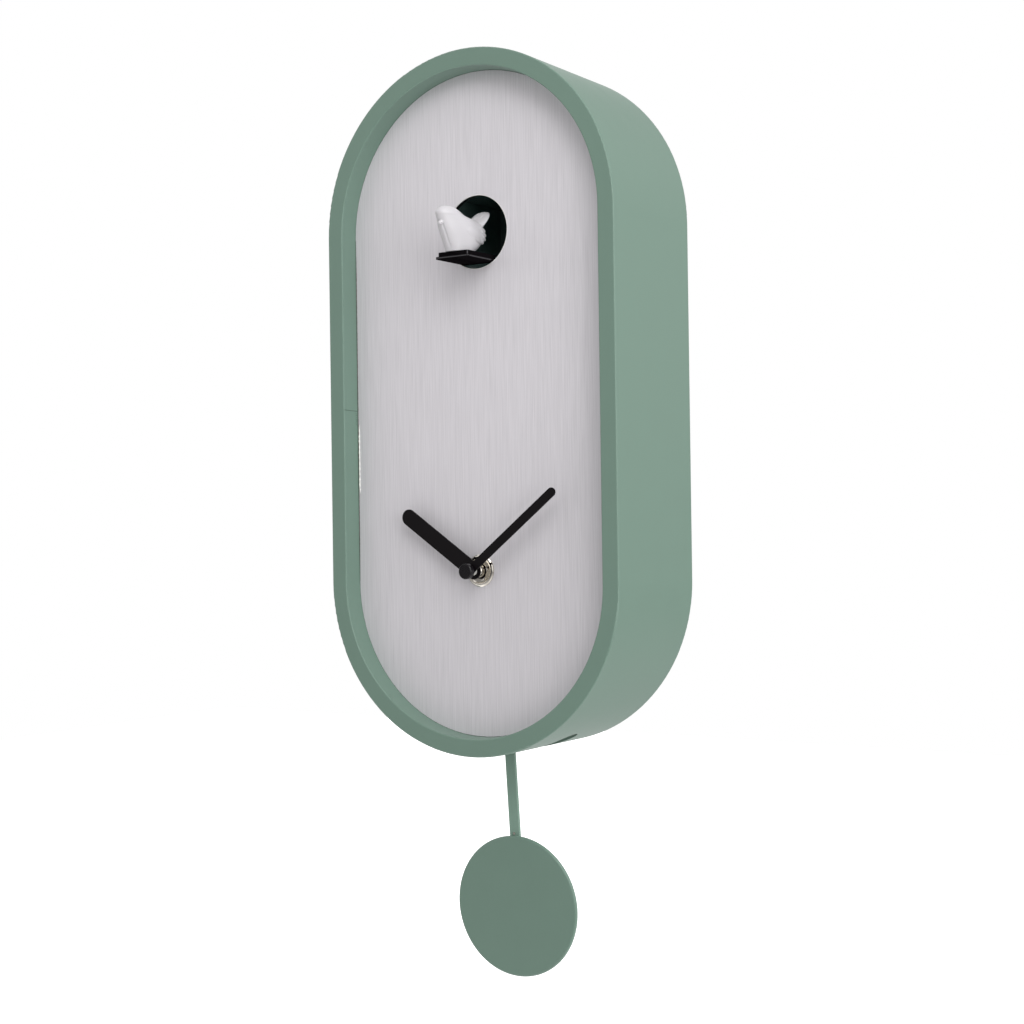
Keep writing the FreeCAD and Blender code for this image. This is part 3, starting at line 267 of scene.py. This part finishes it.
# ---------------------------------------------------------------- bird
# level sections from the tray to the crown: z, foremost y, rearmost y, half width
BODY = [(86.3, -101.6, -82.6, 7.2), (88.0, -102.5, -80.0, 7.7), (91.0, -104.4, -75.6, 8.3),
        (94.5, -106.5, -72.6, 8.8), (98.0, -108.7, -70.6, 8.9), (101.0, -110.2, -70.3, 8.6),
        (103.0, -111.1, -71.6, 8.0), (104.6, -111.9, -75.4, 7.5), (105.6, -112.3, -80.8, 7.0),
        (106.4, -112.5, -87.4, 6.6), (108.0, -112.2, -92.1, 5.9), (109.9, -110.5, -96.2, 4.4),
        (111.0, -108.0, -99.9, 2.4), (111.35, -105.2, -103.2, 0.2)]
BEAK = dict(centre=(0.2, -110.5, 101.5), radii=(1.5, 1.9, 1.2), tilt=36)
# along the tail from its root: distance, half width, half thickness
TAIL = [(-4.0, 4.4, 2.8), (0.0, 5.5, 2.4), (3.5, 6.3, 1.8), (7.0, 6.6, 1.3),
        (10.0, 6.4, 1.05), (12.4, 5.6, 0.9), (14.2, 4.3, 0.75), (15.3, 2.0, 0.4)]
TAIL_ROOT, TAIL_RISE = (-77.2, 102.1), math.radians(46.0)                       # y and z; slope upwards
FEATHERS = [(-75.6, 100.4), (-74.8, 98.4), (-75.2, 96.4), (-77.2, 94.7)]        # y and z of the wing tips
WING_SIDE = 6.5                                                                 # x of the wings' middle
ROUND = [2 * math.pi * k / 56 for k in range(56)]


def bird_body(bm):
    """Body and head from level oval sections, with a small beak."""
    rings = []
    for z, front, rear, half in spline(BODY, 6):
        mid, long = (front + rear) / 2, (rear - front) / 2
        rings.append([(half * math.cos(a), mid + long * math.sin(a), z) for a in ROUND])
    skin(bm, rings)
    blob(bm, **BEAK)


def bird_wings(bm):
    """Folded wing each side: a soft shoulder and four feather tips at the rear, the lower ones steeper."""
    for side in (-1, 1):
        blob(bm, (side * WING_SIDE, -87.0, 97.4), (2.7, 10.5, 4.6), tilt=-6, turn=side * 5)
        for y, z in FEATHERS:
            steeper = (FEATHERS[0][1] - z) * 3
            blob(bm, (side * WING_SIDE, y - 3.6, z), (1.6, 5.3, 1.5), tilt=-6 - steeper, turn=side * 10)


def bird_tail(bm):
    """Flat oval sections along a line that slopes up and back from the root."""
    along, up = math.cos(TAIL_RISE), math.sin(TAIL_RISE)
    rings = []
    for far, half, thick in spline(TAIL, 4):
        y, z = TAIL_ROOT[0] + far * along, TAIL_ROOT[1] + far * up
        rings.append([(half * math.cos(a), y - thick * math.sin(a) * up, z + thick * math.sin(a) * along)
                      for a in ROUND])
    skin(bm, rings)


def groove(offset, width, depth):
    """Depth of a round-bottomed groove at an offset from its middle."""
    return depth * math.exp(-(offset / width) ** 2)


def faded(value, low, high, soft):
    """1 between low and high, easing to 0 over the soft length outside them."""
    return max(0.0, min(1.0, (value - low) / soft + 1, (high - value) / soft + 1))


def bird_creases(x, y, z):
    """Depth of the moulded lines: two down the breast, one under each wing and three along the tail."""
    on_tail, on_breast = y > -74.0 and z > 103.5, y < -96.0
    if on_tail:
        return groove(abs(x) - 2.1, 0.4, 0.35) + groove(x, 0.4, 0.2)
    if on_breast:
        return faded(z, 89.5, 99.5, 2.0) * (groove(x - 1.0, 0.55, 0.42) + groove(x + 3.4, 0.6, 0.42))
    under_wing = 92.6 - (y + 86.0) * 0.2
    return faded(y, -87.0, -80.0, 2.0) * groove(z - under_wing, 0.5, 0.45)


def bird():
    """Moulded bird in one skin, in place of the plain closed form of the frame."""
    bm = bmesh.new()
    bird_body(bm)
    bird_wings(bm)
    bird_tail(bm)
    mesh = melted("bird_skin", bm, voxel=0.26, rounds=3)
    crease(mesh, bird_creases)
    body = piece("bird_skin", mesh, "bird_white")
    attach(body, "bird_carriage")
    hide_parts("bird")


# ---------------------------------------------------------------- small marks of making, and painted edge highlights
def tube(name, path, radius, material, sides=10):
    """Round bead along points, each with its own radius factor."""
    bm = bmesh.new()
    rings = []
    for i, (point, swell) in enumerate(path):
        ahead = Vector(path[min(i + 1, len(path) - 1)][0]) - Vector(path[max(i - 1, 0)][0])
        turn = ahead.to_track_quat("Z", "Y")
        rings.append([Vector(point) + turn @ Vector((math.cos(a), math.sin(a), 0)) * radius * swell
                      for a in (2 * math.pi * k / sides for k in range(sides))])
    skin(bm, rings)
    return piece(name, meshed(name, bm), material)


def lathe(name, profile, centre, material, steps=120):
    """Closed ring about an axis along Y; profile is (radius, y) points, centre is (x, z)."""
    bm = bmesh.new()
    turns = [2 * math.pi * k / steps for k in range(steps)]
    loops = [[bm.verts.new(Vector((centre[0] + r * math.cos(a), y, centre[1] + r * math.sin(a))) * MM)
              for a in turns] for r, y in profile]
    for low, high in zip(loops, loops[1:] + loops[:1]):
        for i in range(steps):
            j = (i + 1) % steps
            bm.faces.new((low[i], low[j], high[j], high[i]))
    return piece(name, meshed(name, bm), material)


def fixed(obj, body):
    """Fastens a piece to a body."""
    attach(obj, body)


def wavy(z, low, high):
    """Uneven swelling along a line, between low and high."""
    wave = 0.5 + 0.25 * math.sin(1.9 * z) + 0.15 * math.sin(0.7 * z + 1.0) + 0.1 * math.sin(4.3 * z)
    return low + (high - low) * wave


def hole_edge():
    """Raised ring at the edge of the bird hole, painted lighter than the dial as the highlight that edge
    catches.
    """
    section = [(0.05, 0.6), (-0.1, 0.4), (-0.1, -0.02), (0.0, -0.1), (0.22, -0.1), (0.32, 0.05)]
    ring = [(HOLE_RADIUS + r, DIAL_FRONT + y) for r, y in section]
    fixed(lathe("hole_edge", ring, (0, HOLE_HEIGHT), "painted_edge_highlight"), "case")


def dial_gap():
    """Uneven shadow gap between the dial's straight left edge and the case wall, thin at both ends."""
    reach, last, easing = 104.0, 239, 30
    gap = []
    for k in range(last + 1):
        z = reach - 2 * reach * k / last
        ends = min(1.0, k / easing, (last - k) / easing)
        gap.append(((DIAL_LEFT + 0.05, DIAL_FRONT, z), 0.2 + wavy(z, 0.45, 0.85) * ends))
    fixed(tube("dial_gap", gap, radius=0.36, material="gap", sides=8), "case")


def case_seam():
    """Hairline inside the left wall where the two halves of the case meet, from its rim to the dial."""
    inset, drop, last = 0.3, 0.35, 12
    depth = DIAL_FRONT - CASE_FRONT - inset
    line = [((CASE_WALL + 0.02, CASE_FRONT + inset + depth * k / last, -drop * k / last), 1.0)
            for k in range(last + 1)]
    fixed(tube("case_seam", line, radius=0.14, material="seam", sides=8), "case")


def paint_runs():
    """Row of small runs in the paint of the left wall, just below the seam."""
    bm = bmesh.new()
    for k in range(7):
        y = DIAL_FRONT - 1.3 - 0.3 * math.sin(3 * k)
        z = -1.6 - 1.15 * k - 0.3 * math.sin(5 * k)
        blob(bm, (CASE_WALL, y, z), (0.5, 0.7, 0.45 + 0.1 * math.sin(2 * k)))
    fixed(piece("paint_runs", meshed("paint_runs", bm), "case_paint"), "case")


def glue_bead():
    """Run of clear glue along the dial's left edge below the seam."""
    top, length, last, easing = -9.0, 42.0, 109, 8
    bead = []
    for k in range(last + 1):
        z = top - length * k / last
        ends = min(1.0, 0.2 + k / easing, 0.2 + (last - k) / easing)
        bead.append(((DIAL_LEFT + 0.75, DIAL_FRONT - 0.05, z), wavy(z, 0.35, 1.3) * ends))
    fixed(tube("glue_bead", bead, radius=0.42, material="glue"), "case")


def plate_edge():
    """Eased lower edge of the tray's plate, from one side round both front corners to the other, in a
    lighter black that paints its glint.
    """
    low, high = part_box("bird_tray")
    side, front, height = high.x / MM - 0.4, low.y / MM + 0.35, low.z / MM + 0.8
    rear, corner = DIAL_FRONT - 2.4, 1.5
    path = [(-side, rear + (front - rear + corner) * k / 10) for k in range(10)]
    for k in range(7):
        angle = math.pi / 2 * k / 6
        path.append((-side + corner - corner * math.cos(angle), front + corner - corner * math.sin(angle)))
    path += [(-x, y) for x, y in reversed(path)]
    line = [((x, y, height), 1.0) for x, y in path]
    fixed(tube("plate_edge", line, radius=0.46, material="black_painted_glint", sides=12), "bird_carriage")


def bar_corners():
    """Eased upright corners at the front of the bar that carries the bird, in a lighter black that paints
    their glints.
    """
    low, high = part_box("bird_tray")
    side, front, foot, top = high.x / MM - 2.05, low.y / MM + 1.75, low.z / MM + 1.6, high.z / MM - 0.1
    for name, x in (("bar_corner_left", -side), ("bar_corner_right", side)):
        rise = [((x, front, foot + (top - foot) * k / 6), 1.0 if 0 < k < 6 else 0.85) for k in range(7)]
        fixed(tube(name, rise, radius=0.5, material="black_painted_glint", sides=12), "bird_carriage")


def washer():
    """Domed ring in front of the dial, under the hexagon nut."""
    section = [(7.0, 0.0), (7.0, 1.0), (7.6, 1.35), (8.4, 1.3), (9.0, 0.95), (9.35, 0.45), (9.4, 0.0)]
    dome = [(radius, DIAL_FRONT - lift) for radius, lift in section]
    fixed(lathe("washer_dome", dome, (0, SHAFT_HEIGHT), "chrome"), "case")


# ---------------------------------------------------------------- studio
CAMERA_PLACE = (0.5718, -0.9159, -0.0683)           # metres
CAMERA_ANGLES = (33.15, -0.27, -0.78)               # azimuth, elevation and roll in degrees
LENS, SENSOR = 61.2, 36.0
FLOOR_HEIGHT = -0.62                                # metres; the clock hangs well above it


def camera():
    """Camera level with the clock and to its right, from where the right side of the case shows."""
    data = bpy.data.cameras.new("camera")
    data.lens, data.sensor_width = LENS, SENSOR
    cam = placed("camera", data)
    azimuth, elevation, roll = [math.radians(angle) for angle in CAMERA_ANGLES]
    back = Vector((math.sin(azimuth) * math.cos(elevation), -math.cos(azimuth) * math.cos(elevation),
                   math.sin(elevation)))
    level = Vector((math.cos(azimuth), math.sin(azimuth), 0))
    rise = back.cross(level)
    right = level * math.cos(roll) + rise * math.sin(roll)
    up = rise * math.cos(roll) - level * math.sin(roll)
    turn = Matrix((right, up, back)).transposed().to_4x4()
    cam.matrix_world = Matrix.Translation(CAMERA_PLACE) @ turn
    bpy.context.scene.camera = cam


def soft_light(name, place, size, power, aim=(0, -0.04, -0.05)):
    """Rectangular light in metres and watts, turned to the clock."""
    data = bpy.data.lights.new(name, "AREA")
    data.shape, data.size, data.size_y = "RECTANGLE", size[0], size[1]
    data.energy = power
    light = placed(name, data)
    light.location = place
    light.rotation_euler = (Vector(aim) - Vector(place)).to_track_quat("-Z", "Y").to_euler()


def graded(tree, output, ends, levels, shape="LINEAR"):
    """Value ramp over one component of the direction, between two levels."""
    span = tree.nodes.new("ShaderNodeMapRange")
    span.interpolation_type = shape
    span.inputs["From Min"].default_value, span.inputs["From Max"].default_value = ends
    span.inputs["To Min"].default_value, span.inputs["To Max"].default_value = levels
    tree.links.new(output, span.inputs["Value"])
    return span.outputs["Result"]


def combined(tree, kind, first, second):
    """Two value sockets put through one arithmetic node."""
    node = tree.nodes.new("ShaderNodeMath")
    node.operation = kind
    tree.links.new(first, node.inputs[0])
    tree.links.new(second, node.inputs[1])
    return node.outputs["Value"]


def surroundings():
    """White backdrop to the eye. As light, a pale room: the wall is dim below the horizon, ceiling and floor
    add to it, both sides are brighter than the middle, and the viewer's side is dimmer."""
    world = bpy.data.worlds.new("studio")
    bpy.context.scene.world = world
    world.use_nodes = True
    tree = world.node_tree
    link, new = tree.links.new, tree.nodes.new
    seen, lit = tree.nodes["Background"], new("ShaderNodeBackground")
    seen.inputs["Color"].default_value, seen.inputs["Strength"].default_value = (1, 1, 1, 1), 1.0
    lit.inputs["Color"].default_value = (1, 0.99, 0.995, 1)
    where, split = new("ShaderNodeTexCoord"), new("ShaderNodeSeparateXYZ")
    link(where.outputs["Generated"], split.inputs["Vector"])
    across, deep, height = split.outputs["X"], split.outputs["Y"], split.outputs["Z"]
    wall = graded(tree, height, (-0.01, 0.05), (0.42, 0.94), "SMOOTHSTEP")
    ceiling = graded(tree, height, (0.2, 1.0), (0.0, 0.5))
    underfoot = graded(tree, height, (-0.95, -0.15), (1.9, 0.0))
    left = graded(tree, across, (-0.5, -0.1), (1.02, 0.55), "SMOOTHSTEP")
    right = graded(tree, across, (0.1, 1.0), (0.0, 0.65))
    viewer = graded(tree, deep, (-1.0, -0.1), (0.66, 1.0))
    levels = combined(tree, "ADD", wall, combined(tree, "ADD", ceiling, underfoot))
    sides = combined(tree, "MULTIPLY", combined(tree, "ADD", left, right), viewer)
    link(combined(tree, "MULTIPLY", levels, sides), lit.inputs["Strength"])
    ray, mix = new("ShaderNodeLightPath"), new("ShaderNodeMixShader")
    link(ray.outputs["Is Camera Ray"], mix.inputs["Fac"])
    link(lit.outputs[0], mix.inputs[1])
    link(seen.outputs[0], mix.inputs[2])
    link(mix.outputs[0], tree.nodes["World Output"].inputs["Surface"])


def floor():
    """Pale sheet under the clock that glows a little and leaves no tint or reflection on it."""
    bm = bmesh.new()
    down = Matrix.Translation((0, 0, FLOOR_HEIGHT))
    bmesh.ops.create_grid(bm, x_segments=1, y_segments=1, size=3.0, matrix=down)
    mesh = meshed("floor", bm)
    pale = bpy.data.materials.new("pale_floor")
    pale.use_nodes = True
    shader = pale.node_tree.nodes["Principled BSDF"]
    shader.inputs["Base Color"].default_value = (0.9, 0.9, 0.9, 1)
    shader.inputs["Roughness"].default_value = 0.9
    shader.inputs["Emission Color"].default_value = (1, 1, 1, 1)
    shader.inputs["Emission Strength"].default_value = 0.75
    obj = placed("floor", mesh)
    mesh.materials.append(pale)
    obj.visible_diffuse, obj.visible_glossy = False, False


def studio():
    """Pale room, two soft lights and the sheet below."""
    bpy.context.scene.view_settings.view_transform = "Standard"
    surroundings()
    soft_light("key_light", place=(0.75, -1.0, 0.95), size=(0.8, 0.8), power=8)
    soft_light("side_light", place=(1.35, -0.65, 0.25), size=(0.9, 1.3), power=10)
    floor()


camera()
bird()
hole_edge()
dial_gap()
case_seam()
paint_runs()
glue_bead()
plate_edge()
bar_corners()
washer()
studio()
